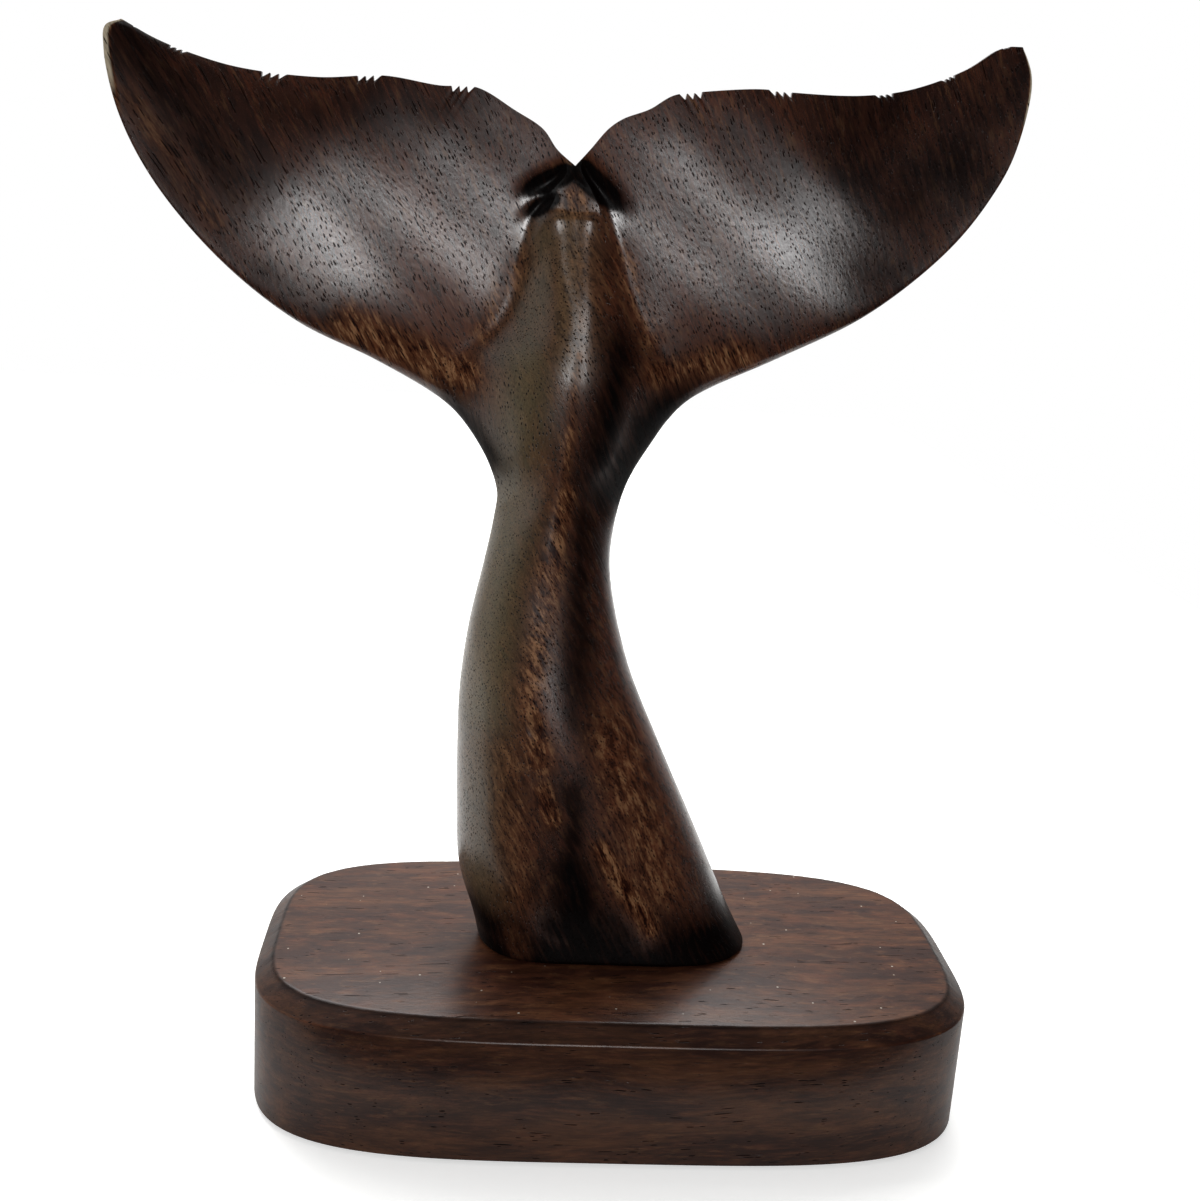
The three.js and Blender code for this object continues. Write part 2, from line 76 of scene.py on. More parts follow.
# %% Camera
PHOTO_HEIGHT = 1201
FOCAL_PIXELS = 1500
SENSOR = 36
AIM = Vector((-9.73, 0, 141.24)) * MM
DISTANCE = 411.5 * MM
PITCH, YAW, ROLL = (math.radians(angle) for angle in (14.82, -4.25, 3.8))


def camera_axes():
    turn = Matrix.Rotation(YAW, 3, "Z")
    forward = turn @ Vector((0, math.cos(PITCH), -math.sin(PITCH)))
    right = turn @ Vector((1, 0, 0))
    up = right.cross(forward)
    tipped_right = right * math.cos(ROLL) + up * math.sin(ROLL)
    tipped_up = up * math.cos(ROLL) - right * math.sin(ROLL)
    return tipped_right, tipped_up, -forward


def add_camera():
    data = bpy.data.cameras.new("photo_camera")
    data.lens = FOCAL_PIXELS / PHOTO_HEIGHT * SENSOR
    data.sensor_width = SENSOR
    camera = bpy.data.objects.new("photo_camera", data)
    axes = camera_axes()
    camera.matrix_world = Matrix.Translation(AIM + axes[2] * DISTANCE) @ Matrix(axes).transposed().to_4x4()
    bpy.context.scene.collection.objects.link(camera)
    bpy.context.scene.camera = camera
    return camera


camera = add_camera()
print("camera in mm:", [round(v / MM, 1) for v in camera.location], "lens:", round(camera.data.lens, 1))

# %% [markdown]
# ## Helpers for meshes
# Every piece here is a grid or a loft of points worked out with numpy, in millimetres. One function turns
# points and faces into an object that rides on the frame and stands for its plain solid.


# %% Mesh helpers
def grid_faces(rows, columns, start, flip, closed=False):
    """Quads of a grid of points, row after row, as corner numbers."""
    wrap = columns if closed else columns - 1
    faces = []
    for row in range(rows - 1):
        for column in range(wrap):
            beside = (column + 1) % columns
            corner = start + row * columns
            face = (corner + column, corner + beside, corner + columns + beside, corner + columns + column)
            faces.append(face[::-1] if flip else face)
    return faces


def make_piece(name, points, faces, node, sharp_angle, marks=None):
    """A smooth piece from points in millimetres, welded, standing for one solid of the frame.

    Marks are named values at the points, such as how rubbed the wood is, which the materials read.
    """
    mesh = bpy.data.meshes.new(name)
    mesh.from_pydata((np.asarray(points) * MM).tolist(), [], faces)
    for mark, values in (marks or {}).items():
        layer = mesh.attributes.new(mark, "FLOAT", "POINT")
        layer.data.foreach_set("value", np.asarray(values, np.float32))
    piece = bpy.data.objects.new(name, mesh)
    bpy.context.scene.collection.objects.link(piece)
    weld(mesh)
    mesh.shade_smooth()
    mesh.set_sharp_from_angle(angle=math.radians(sharp_angle))
    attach(piece, BODY)
    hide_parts(node)
    print(name, "has", len(mesh.polygons), "faces")
    return piece


def weld(mesh, reach=0.002 * MM):
    work = bmesh.new()
    work.from_mesh(mesh)
    bmesh.ops.remove_doubles(work, verts=work.verts, dist=reach)
    bmesh.ops.dissolve_degenerate(work, edges=work.edges, dist=reach)
    work.to_mesh(mesh)
    work.free()


# %% [markdown]
# ## Curves for the carving
# A carver draws the outline on the plank first. Here each outline is a smooth curve through a few points,
# given as shares of the way between named places, and `smooth` gives a depth or a width along the form.


# %% Curve helpers
def through(start, end, shares):
    start, end = np.array(start, float), np.array(end, float)
    return np.vstack([start, start + np.array(shares) * (end - start), end])


def outline(*stretches, steps=60):
    """A centripetal curve in x and height through the points of the stretches, sampled finely."""
    points = np.vstack([stretches[0]] + [stretch[1:] for stretch in stretches[1:]])
    points = np.vstack([2 * points[0] - points[1], points, 2 * points[-1] - points[-2]])
    share = np.linspace(0, 1, steps, endpoint=False)[:, None]
    spans = []
    for before, start, end, after in zip(points, points[1:], points[2:], points[3:]):
        a, b, c = (np.sqrt(np.linalg.norm(step)) for step in (start - before, end - start, after - end))
        leave = ((start - before) / a - (end - before) / (a + b) + (end - start) / b) * b
        arrive = ((end - start) / b - (after - start) / (b + c) + (after - end) / c) * b
        ease = share * share * (3 - 2 * share)
        bend = share * (1 - share) ** 2 * leave + share ** 2 * (share - 1) * arrive
        spans.append(start + (end - start) * ease + bend)
    return np.vstack(spans + [points[-2:-1]])


def length_along(curve):
    steps = np.linalg.norm(np.diff(curve, axis=0), axis=1)
    return np.concatenate([[0], np.cumsum(steps)])


def at_share(curve, share):
    run = length_along(curve)
    places = np.asarray(share) * run[-1]
    return np.stack([np.interp(places, run, curve[:, axis]) for axis in (0, 1)], -1)


def share_at_height(curve, height):
    run = length_along(curve)
    return np.interp(height, curve[:, 1], run) / run[-1]


def smooth(*pairs):
    """A smooth value along a line, through pairs of place and value."""
    places, values = np.array(pairs, float).T
    slopes = np.empty_like(values)
    slopes[1:-1] = (values[2:] - values[:-2]) / (places[2:] - places[:-2])
    slopes[0] = (values[1] - values[0]) / (places[1] - places[0])
    slopes[-1] = (values[-1] - values[-2]) / (places[-1] - places[-2])

    def value(place):
        place = np.clip(place, places[0], places[-1])
        i = np.clip(np.searchsorted(places, place, side="left") - 1, 0, len(places) - 2)
        step = places[i + 1] - places[i]
        t = (place - places[i]) / step
        ease = t * t * (3 - 2 * t)
        bend = t * (1 - t) ** 2 * slopes[i] + t * t * (t - 1) * slopes[i + 1]
        return values[i] + (values[i + 1] - values[i]) * ease + bend * step

    return value


def ramp(value, start, end):
    t = np.clip((value - start) / (end - start), 0, 1)
    return t * t * (3 - 2 * t)


# %% [markdown]
# ## Outlines of the tail
# Heights are above the base's top and x is from the middle of the base, in millimetres. The base's top is
# read from the frame, so the carving always stands on the solid below it.

# %% Outlines
base_low, base_high = (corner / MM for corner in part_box("base_block"))
BASE_TOP = base_high.z
NECK_HEIGHT, ROOT_HEIGHT, CREST_HEIGHT, FACET_HEIGHT = 121, 160, 175, 203.5
NOTCH = (-23.2, 214.9)
RIDGE_BELLY, RIDGE_ROOT = (-26, 84), (-20.5, ROOT_HEIGHT)
LEFT_BELLY, LEFT_NECK = (-47.2, 60), (-40, NECK_HEIGHT)
LEFT_SHOULDER, LEFT_TIP = (-55.3, 152.7), (-131.1, 240.2)
RIGHT_NECK, RIGHT_SHOULDER, RIGHT_TIP = (-6.9, NECK_HEIGHT), (11.6, 156.5), (81.5, 248.7)

ridge = outline(
    through((-5.5, 0), RIDGE_BELLY, [(0.585, 0.412), (0.854, 0.718)]),
    through(RIDGE_BELLY, RIDGE_ROOT, [(0.107, 0.251), (0.322, 0.502), (0.698, 0.784)]),
    through(RIDGE_ROOT, NOTCH, [(-0.128, 0.309), (0.529, 0.625)]),
)
left_outer = outline(
    through((-38.6, 0), LEFT_BELLY, [(0.27, 0.147), (0.77, 0.37), (0.92, 0.663)]),
    through(LEFT_BELLY, LEFT_NECK, [(0.014, 0.246), (0.264, 0.528), (0.722, 0.811)]),
    through(LEFT_NECK, LEFT_SHOULDER, [(-0.046, 0.253), (0.118, 0.5), (0.605, 0.832)]),
    through(LEFT_SHOULDER, LEFT_TIP, [
        (0.235, 0.113), (0.493, 0.217), (0.736, 0.383), (0.936, 0.593), (1.032, 0.77), (1.063, 0.935),
        (1.052, 0.983),
    ]),
)
left_trailing = outline(through(NOTCH, LEFT_TIP, [
    (0.045, 0.146), (0.081, 0.332), (0.149, 0.49), (0.239, 0.675), (0.324, 0.667), (0.45, 0.716),
    (0.596, 0.65), (0.763, 0.674), (0.857, 0.755), (0.936, 0.865),
]))
right_outer = outline(
    through((39.2, 0), RIGHT_NECK, [
        (0.145, 0.103), (0.393, 0.301), (0.642, 0.496), (0.866, 0.686), (1.007, 0.897),
    ]),
    through(RIGHT_NECK, RIGHT_SHOULDER, [(0.147, 0.359), (0.49, 0.67), (0.699, 0.834)]),
    through(RIGHT_SHOULDER, RIGHT_TIP, [
        (0.305, 0.132), (0.584, 0.259), (0.769, 0.383), (0.9, 0.5), (0.986, 0.612), (1.041, 0.72),
        (1.063, 0.873), (1.052, 0.933), (1.025, 0.974),
    ]),
)
right_trailing = outline(through(NOTCH, RIGHT_TIP, [
    (0.034, 0.125), (0.076, 0.286), (0.109, 0.361), (0.17, 0.44), (0.225, 0.548), (0.293, 0.586),
    (0.43, 0.63), (0.506, 0.619), (0.661, 0.622), (0.77, 0.68), (0.886, 0.833), (0.948, 0.974),
    (0.975, 1),
]))
print("trailing edges in mm:", [round(length_along(c)[-1]) for c in (left_trailing, right_trailing)])

# %% [markdown]
# ## Depth of the tail
# The stock is thick and rounded, the keel rises along its front to a ridge, and the flukes thin out from
# their leading edge to their trailing edge. Reach is -1 at the neck, 0 at the notch and 1 at a tip.

# %% Depths
half_depth = smooth((0, 19), (60, 21), (NECK_HEIGHT, 14.5), (ROOT_HEIGHT, 15), (CREST_HEIGHT, 12.3),
                    (FACET_HEIGHT, 3.6), (NOTCH[1], 1.6))
set_back = smooth((0, 0), (NECK_HEIGHT, 5), (ROOT_HEIGHT, 6), (FACET_HEIGHT, 5.5), (NOTCH[1], 4))
squareness = smooth((0, 4.5), (60, 2.2), (95, 1.9), (NECK_HEIGHT, 1.8), (ROOT_HEIGHT, 1.8),
                    (CREST_HEIGHT, 2.2), (FACET_HEIGHT, 2.8))
roundness = smooth((0, 0.53), (60, 0.53), (NECK_HEIGHT, 0.62), (ROOT_HEIGHT, 2.8), (FACET_HEIGHT, 2.8),
                   (NOTCH[1], 2))
trailing_y = smooth((0, 4), (0.25, 0), (0.5, -4), (0.75, -11.5), (1, -20.5))
leading_y = smooth((-1, 5), (0, 8), (0.25, 2), (0.5, -6.5), (0.75, -14), (1, -20.5))
bowl = smooth((-1, 0), (0, 3.2), (0.25, 4.8), (0.5, 5.8), (0.75, 3.1), (1, 0))
bowl_skew = smooth((-1, 1.1), (0, 1.1), (0.25, 0.7), (0.5, 0.4), (1, 0))
leading_half = smooth((-1.2, 0), (-1, 0), (-0.9, 0.2), (-0.5, 5.5), (0, 8), (0.5, 3.5), (1, 0.8))
KEEL_SPREAD, CREST_SPREAD, FACET_SPREAD, NOTCH_SPREAD = 72, 44, 22, 6
TRAILING_HALF = 0.8
LEADING_ROUND, LEADING_ROUND_SHARE = 22, 0.8  # mm, and share of the chord at most
FOOT_ROUND = 1.5


def foot_inset(height):
    below = np.clip(1 - height / FOOT_ROUND, 0, 1)
    return FOOT_ROUND * (1 - np.sqrt(1 - below * below))


# %% [markdown]
# ## Nicks in the trailing edge
# The carver sawed groups of small teeth into the thin trailing edge, as on a worn real fluke. Each tooth
# falls slowly from the tip side and rises in a steep wall. The depth of the cut is a function of the way
# along the edge, so the ribs of the loft simply start a little further in.

# %% Nicks
NICK_PITCH, NICK_DEPTH, NICK_RISE = 1.9, 1.9, 0.3
NICK_FADE = 24  # power with which a cut dies out along its rib
# each group: share of the way across to the tip, scale and number of its teeth
LEFT_NICKS = [(0.271, 1, 3), (0.483, 1, 3), (0.689, 1, 3), (0.887, 0.7, 3), (0.975, 0.4, 1)]
RIGHT_NICKS = [(0.265, 1, 3), (0.476, 1, 3), (0.712, 0.75, 3), (0.849, 0.55, 3), (0.963, 0.4, 2)]


def nick_depth(trailing, groups, share):
    """Depth of the teeth in mm at shares of the trailing edge's length, from the notch to the tip."""
    run = length_along(trailing)
    place = share * run[-1]
    depth = np.zeros_like(place)
    for across, scale, teeth in groups:
        x = NOTCH[0] + across * (trailing[-1, 0] - NOTCH[0])
        middle = np.interp(abs(x - NOTCH[0]), np.abs(trailing[:, 0] - NOTCH[0]), run)
        pitch = NICK_PITCH * scale
        tooth = (place - middle) / pitch + teeth / 2
        inside = (tooth >= 0) & (tooth <= teeth)
        part = tooth - np.floor(tooth)
        saw = np.where(part < NICK_RISE, part / NICK_RISE, (1 - part) / (1 - NICK_RISE))
        depth = np.maximum(depth, np.where(inside, saw * NICK_DEPTH * scale, 0))
    return depth


# %% [markdown]
# ## Carving marks at the keel's end
# Where the keel meets the notch it is cut off to a small three-cornered facet, with gouge cuts beside it
# and a shallow groove below it, between two rounded crests. Each gouge is a line in x and height with a
# half width and a depth, and the front of the loft falls towards its middle. How deep a point lies also
# paints it black, as painted shade in the cuts.

# %% Carving marks
GOUGES = [
    ((-36, 207.6), (-25.8, 212.6), 2.3, 1.5),
    ((-35, 201.6), (-28.6, 206.6), 2, 1.1),
    ((-11, 205.4), (-21.3, 213.4), 2.7, 1.5),
]
GROOVE = ((-22.4, 204), (-21.4, 176), 3, 0.4)
FACET_LOW, FACET_TOP = (203.2, 2), (214.9, 4.4)
FACET_LIP = 1.2
KNOT = ((-26.4, 69.7), 1.9, 0.3)


def to_line(x, height, start, end):
    start, end = np.array(start), np.array(end)
    way = end - start
    share = ((x - start[0]) * way[0] + (height - start[1]) * way[1]) / (way @ way)
    share = np.clip(share, 0, 1)
    return np.hypot(x - start[0] - share * way[0], height - start[1] - share * way[1]), share


def gouged(x, height):
    """How deep the gouge cuts lie in the front, in mm."""
    deep = np.zeros_like(x)
    for start, end, half_width, depth in GOUGES:
        away, share = to_line(x, height, start, end)
        deep = np.maximum(deep, depth * np.exp(-(away / half_width) ** 2) * ramp(share, -0.3, 0.6))
    return deep


def grooved(x, height):
    """The groove between the two crests below the facet, and the knot in the stock."""
    start, end, half_width, depth = GROOVE
    away, share = to_line(x, height, start, end)
    groove = depth * np.exp(-(away / half_width) ** 2) * ramp(1 - share, 0, 0.7)
    place, radius, depth = KNOT
    away = np.hypot(x - place[0], (height - place[1]) / 1.6)
    return groove + depth * np.exp(-(away / radius) ** 4)


def facet_cut(front, height):
    """How deep the plane of the facet lies behind the front, in mm."""
    slope = (FACET_TOP[1] - FACET_LOW[1]) / (FACET_TOP[0] - FACET_LOW[0])
    plane = FACET_LOW[1] + slope * (height - FACET_LOW[0])
    return np.maximum(plane - front, 0) * ramp(height, FACET_LOW[0] - FACET_LIP, FACET_LOW[0])


def hand_waver(x, height, turn):
    """The slow unevenness that hand tools leave, about a tenth of a millimetre."""
    waver = np.sin(x / 5.3 + height / 9.1 + turn) + np.sin(x / 11.7 - height / 7.3 + 2.1 * turn)
    return 0.06 * waver + 0.05 * np.sin(height / 3.7 + x / 4.9 + 3.3 * turn)


# %% [markdown]
# ## Rubbed places, painted shade and painted sheen
# Hands and cloths have rubbed the stain thin along the ridge, on the flanks and at the roots of the flukes,
# so that golden wood shows there. Low on the stock, right of the ridge, in the armpits and on the left
# fluke's tip and edges the wood is painted nearly black, as painted shade where these surfaces turn from
# the light;
# the outer half of the right fluke is darkened too, and the knot is dark. A dull olive painted sheen, a
# painted reflection of the pale wall, lies on the left flank and up the keel. All three are drawn as soft
# strokes on
# the front: start and end in x and height, half width in mm, and strength.

# %% Rubbed places, painted shade and painted sheen
RUBBED = [
    # roots of both flukes
    ((-96, 184), (-80, 174), 5, 0.4),
    ((-80, 172), (-50, 160), 7, 1),
    ((2, 163), (24, 169.5), 5.5, 0.9),
    # gold band down the ridge
    ((-20, 168), (-22, 135), 2.2, 0.8),
    ((-21, 132), (-24, 112), 3.6, 1),
    ((-24, 112), (-27, 84), 5, 1),
    ((-27, 80), (-24.5, 60), 5.5, 0.9),
    ((-23, 52), (-20, 44), 4, 0.9),
    # flanks and foot of the stock
    ((-6, 68), (10, 24), 11, 0.7),
    ((-6, 35), (9, 12), 4.5, 1),
    ((-33, 60), (-28, 22), 9, 0.6),
    ((-29, 9), (-27, 4), 4, 0.5),
    # keel's crest, the facet at its end, and the hollows beside it
    ((-22, 204), (-20.5, 168), 7, 0.62),
    ((-22.3, 206), (-23, 212), 7, 1),
    ((-37, 190), (-44.5, 172), 5, 0.75),
    ((-9.5, 194), (-0.5, 173), 5, 0.75),
    # leading edge below the left tip
    ((-131, 224), (-112, 196), 4, 0.6),
]
# strokes of black: mostly painted shade, with the real dark knot
STAIN_AND_SHADE_STROKES = [
    # painted shade low on the stock and round the foot
    ((-15, 52), (-13, 24), 6, 0.9),
    ((-14, 28), (-8, 0), 13, 1),
    ((-17, 12), (8, 3), 10, 1),
    ((-34, 2), (34, 2), 15, 1),
    ((-24, 36), (12, 12), 22, 0.35),
    ((-10, 12), (30, 6), 14, 1),
    ((-40, 11), (-22, 5), 9, 1),
    # painted shade on the dark flank right of the ridge, and the real dark knot on it
    ((-16, 135), (-17, 100), 7, 0.85),
    ((-17, 100), (-14, 72), 8, 0.85),
    ((-26.4, 68), (-26.4, 71.5), 1.4, 1),
    # painted shade in the armpits, under the flukes
    ((-8, 132), (8, 160), 12, 1),
    ((-12, 140), (-9, 170), 8, 0.95),
    ((-53, 153), (-43, 138), 7, 1),
    # painted shade on the left fluke where it turns from the light: its tip, its trailing edge and low at
    # its leading edge
    ((-132, 236), (-112, 205), 17, 0.8),
    ((-101, 222), (-50, 226), 9, 0.5),
    ((-100, 184), (-84, 174), 5, 0.7),
    # darker over the outer half of the right fluke
    ((49, 230), (52, 195), 23, 0.72),
    ((60, 212), (72, 222), 18, 0.8),
    ((75, 232), (84, 240), 14, 0.7),
]
# strokes of painted sheen: an olive painted reflection of the pale wall on the keel and the left flank
PAINTED_SHEEN_STROKES = [
    # keel
    ((-24, 201), (-22, 166), 6, 0.9),
    ((-29, 196), (-33, 165), 7, 0.7),
    # left flank
    ((-33, 165), (-37, 130), 9, 0.9),
    ((-37, 130), (-42, 70), 10, 1),
    ((-42, 70), (-40, 20), 9, 0.8),
]
PAINTED_GLINT_LEVEL = 2  # the mark "rubbed" where the pale painted highlight along a tip's edge is full: up to 1 the stain wears thin, and from 1 to 2 the painted highlight takes over
PAINTED_GLINT_REACH = (0.78, 0.9)  # where the strip of painted highlight along the edge of a tip sets in
BACK_FADE = 12  # half thickness in mm at which the front's marks have faded away on the back


def stroked(x, height, strokes):
    """The strongest of the soft strokes at each point."""
    strongest = np.zeros_like(x)
    for start, end, half_width, strength in strokes:
        away, _ = to_line(x, height, start, end)
        strongest = np.maximum(strongest, strength * np.exp(-(away / half_width) ** 2))
    return strongest


# %% [markdown]
# ## The loft
# Ribs run from the ridge, or from the trailing edge, out to the outer edge. Both ends of a rib lie on the
# outlines, and points along it get a middle depth and a half thickness. Front and back are two grids that
# share their edges. A strip along the edges of the tips, wider on the left, gets a pale painted highlight.

# %% Ribs of one side
STOCK_RIBS, ROOT_RIBS, FLUKE_RIBS, RIB_STEPS = 110, 170, 460, 80
# The last entry of each side is the width in mm of the pale painted highlight along its tip's edge.
LEFT = dict(sign=-1, outer=left_outer, trailing=left_trailing, shoulder=LEFT_SHOULDER, neck=LEFT_NECK,
            keel_share=0.54, nicks=LEFT_NICKS, painted_glint_edge=2.4)
RIGHT = dict(sign=1, outer=right_outer, trailing=right_trailing, shoulder=RIGHT_SHOULDER, neck=RIGHT_NECK,
             keel_share=0.46, nicks=RIGHT_NICKS, painted_glint_edge=1)


def at_height(curve, height):
    return np.stack([np.interp(height, curve[:, 1], curve[:, 0]), height], -1)


def ribs_of(side):
    """Inner ends, outer ends and reach of all ribs of one side."""
    outer = side["outer"]
    neck = share_at_height(outer, NECK_HEIGHT)
    shoulder = share_at_height(outer, side["shoulder"][1])
    rounded = FOOT_ROUND * (1 - np.cos(np.linspace(0, np.pi / 2, 7)[:-1]))
    level = np.concatenate([rounded, np.linspace(FOOT_ROUND, NECK_HEIGHT, STOCK_RIBS)])
    stock_outer = at_height(outer, level)
    stock_outer[:, 0] -= side["sign"] * foot_inset(level)
    root = np.arange(1, ROOT_RIBS + 1) / ROOT_RIBS
    fluke = np.arange(1, FLUKE_RIBS + 1) / FLUKE_RIBS
    root_inner = at_height(ridge, NECK_HEIGHT + (NOTCH[1] - NECK_HEIGHT) * root)
    inner = np.vstack([at_height(ridge, level), root_inner, at_share(side["trailing"], fluke)])
    root_outer = at_share(outer, neck + (shoulder - neck) * root)
    outer = np.vstack([stock_outer, root_outer, at_share(outer, shoulder + (1 - shoulder) * fluke)])
    return inner, outer, np.concatenate([np.full(len(level), -1.0), root - 1, fluke])


def keel_width(side):
    """Half width of the keel on one side, over the height."""
    share = side["keel_share"]
    neck_width = abs(side["neck"][0] - at_height(ridge, NECK_HEIGHT)[0])
    return smooth((NECK_HEIGHT, neck_width), (ROOT_HEIGHT, KEEL_SPREAD * share),
                  (CREST_HEIGHT, CREST_SPREAD * share), (FACET_HEIGHT, FACET_SPREAD * share),
                  (NOTCH[1], NOTCH_SPREAD * share))


# %% Depth along the ribs
def loft(side):
    """Grids of ribs and steps of one side: places, middle depth, half thickness and what they came from."""
    inner, outer, reach = ribs_of(side)
    along = 0.5 - 0.5 * np.cos(np.pi * np.linspace(0, 1, RIB_STEPS + 1))[None, :]
    x = inner[:, :1] + (outer[:, :1] - inner[:, :1]) * along
    height = inner[:, 1:] + (outer[:, 1:] - inner[:, 1:]) * along
    chord = np.linalg.norm(outer - inner, axis=1)[:, None]
    reach = reach[:, None]
    inner_y = np.where(reach > 0, trailing_y(np.maximum(reach, 0)), set_back(inner[:, 1:]))
    outer_y = np.where(reach > -1, leading_y(reach), inner_y)
    hollow = 4 * along * (1 - along) * (1 + bowl_skew(reach) * (2 * along - 1))
    middle = inner_y + (outer_y - inner_y) * along + hollow * bowl(reach)
    ridge_x = np.interp(height, ridge[:, 1], ridge[:, 0])
    away = np.hypot(x - ridge_x, np.maximum(height - NOTCH[1], 0)) / keel_width(side)(height)
    across = np.minimum(along + (away - along) * ramp(reach, -1, -0.6), 1)
    depth = half_depth(height) - foot_inset(height)
    stock = depth * (1 - across ** squareness(height)) ** roundness(height)
    trailing_half = TRAILING_HALF * np.clip(1 + np.minimum(reach, 0), 0, 1)
    body = trailing_half + (leading_half(reach) - trailing_half) * ramp(along, 0, 0.7)
    edge_round = np.maximum(np.minimum(LEADING_ROUND, LEADING_ROUND_SHARE * chord), 1e-6)
    inside = np.minimum((1 - along) * chord / edge_round, 1)
    fluke = body * np.sqrt(1 - (1 - inside) ** 2)
    half = stock + fluke
    half[:, -1] = 0
    half[-1] = 0
    return x, height, middle, half, stock, reach, along, chord


# %% Nicks and marks on the ribs
def cut_nicks(side, x, height, reach, along, chord):
    """Moves the points near the trailing edge inwards along their ribs by the depth of the teeth."""
    deep = nick_depth(side["trailing"], side["nicks"], np.maximum(reach, 0)) * (reach > 0)
    fade = (1 - along) ** NICK_FADE
    way_x = (x[:, -1:] - x[:, :1]) / np.maximum(chord, 1e-6)
    way_z = (height[:, -1:] - height[:, :1]) / np.maximum(chord, 1e-6)
    return x + way_x * deep * fade, height + way_z * deep * fade


def tail_marks(side, x, height, half, reach, from_edge):
    """Marks of one side, front and back. What is rubbed has lost its stain, stain and painted shade lie
    where the strokes and the gouges say, and the tips' edges get a pale painted highlight.

    The marks run on round the outer edges and fade away where the form grows thick behind.
    """
    rubbed = stroked(x, height, RUBBED)
    unrubbed_stain_and_shade = stroked(x, height, STAIN_AND_SHADE_STROKES) * (1 - 0.8 * rubbed)
    # black in the gouges as painted shade, and wherever the strokes put stain or painted shade
    stain_and_shade = np.maximum(ramp(gouged(x, height), 0, 0.5), unrubbed_stain_and_shade)
    near_edge = 1 - ramp(from_edge, 0.3 * side["painted_glint_edge"], side["painted_glint_edge"])
    painted_glint = ramp(reach, *PAINTED_GLINT_REACH) * near_edge
    front = {
        # The mark rubbed also carries the pale painted highlight along the tips' edges, from 1 to 2.
        "rubbed": np.maximum(rubbed, PAINTED_GLINT_LEVEL * painted_glint),
        "stain_and_shade_mark": stain_and_shade * (1 - painted_glint),
        "painted_sheen_mark": stroked(x, height, PAINTED_SHEEN_STROKES),
    }
    behind = 1 - ramp(half, 0, BACK_FADE)
    return {name: np.stack([values, values * behind]).ravel() for name, values in front.items()}


# %% Points and faces of one side
def tail_side(side, start):
    """Points, faces and marks of one side: front grid, back grid, the thin trailing edge and the foot."""
    x, height, middle, half, stock, reach, along, chord = loft(side)
    solid = ramp(half, 0.1, 1.5)
    front = middle - half + grooved(x, height) * solid
    facet = np.minimum(facet_cut(front, height), stock)
    gouge = np.minimum(gouged(x, height), 1.2 * half)
    front = front + np.maximum(facet, gouge) + hand_waver(x, height, 1) * solid
    back = middle + half + hand_waver(x, height, 4) * solid
    x, height = cut_nicks(side, x, height, reach, along, chord)
    rows, columns = x.shape
    marks = tail_marks(side, x, height, half, reach, (1 - along) * chord)
    x = np.maximum(x, cad_low.x / MM)
    z = np.minimum(BASE_TOP + height, cad_high.z / MM)
    points = np.vstack([np.stack([x, y, z], -1).reshape(-1, 3) for y in (front, back)])
    is_left = side["sign"] < 0
    behind = start + rows * columns
    faces = grid_faces(rows, columns, start, is_left) + grid_faces(rows, columns, behind, not is_left)
    for row in np.flatnonzero(reach[:-1, 0] >= 0):
        a, b = start + row * columns, start + (row + 1) * columns
        face = (a, b, behind + (row + 1) * columns, behind + row * columns)
        faces.append(face[::-1] if is_left else face)
    for column in range(columns - 1):
        face = (start + column, behind + column, behind + column + 1, start + column + 1)
        faces.append(face[::-1] if is_left else face)
    return points, faces, marks


# %% Whale tail
left_points, left_faces, left_marks = tail_side(LEFT, 0)
right_points, right_faces, right_marks = tail_side(RIGHT, len(left_points))
both_marks = {name: np.concatenate([left_marks[name], right_marks[name]]) for name in left_marks}
whale_tail = make_piece("carved_tail", np.vstack([left_points, right_points]), left_faces + right_faces,
                        "whale_tail", 50, both_marks)

# %% [markdown]
# ## The base block
# The block is a rounded rectangle, a superellipse, with a wide chamfer round its top. The plan is one
# closed curve with evenly spaced points, and the block is a stack of such curves, drawn in where the edges
# are worn or bevelled. The chamfer's upper edge is a little ragged, as a plane leaves it across the grain.
# Each ring of the stack has a mark for painted shade, dark at the foot, on the walls, beside the arris and
# along the chamfer, and the top ring has one for the dust that lies there.

# %% Base block
BASE_SQUARENESS = 3.85
PLAN_POINTS = 720
CHAMFER_INSET, CHAMFER_DROP = 5, 4.1
BOTTOM_ROUND = 0.8
EDGE_WEAR = 0.35
base_size = base_high - base_low


def plan(length, depth):
    """A superellipse with evenly spaced points."""
    turn = np.linspace(0, 2 * np.pi, 40001)
    power = 2 / BASE_SQUARENESS
    curve = np.stack([
        np.sign(np.cos(turn)) * np.abs(np.cos(turn)) ** power * length / 2,
        np.sign(np.sin(turn)) * np.abs(np.sin(turn)) ** power * depth / 2,
    ], -1)
    return at_share(curve, np.arange(PLAN_POINTS) / PLAN_POINTS)


def stack(layers, length, depth):
    """Rings of the plan at insets and heights, closed at both ends."""
    count = PLAN_POINTS
    points = []
    for inset, z in layers:
        ring = plan(length, depth) * [1 - 2 * np.mean(inset) / length, 1 - 2 * np.mean(inset) / depth]
        ring *= 1 - ((np.broadcast_to(inset, count) - np.mean(inset)) / (depth / 2))[:, None]
        points.append(np.column_stack([ring, np.broadcast_to(z, count)]))
    faces = grid_faces(len(layers), count, 0, False, closed=True)
    faces.append(tuple(range(count))[::-1])
    last = (len(layers) - 1) * count
    faces.append(tuple(range(last, last + count)))
    return np.vstack(points), faces


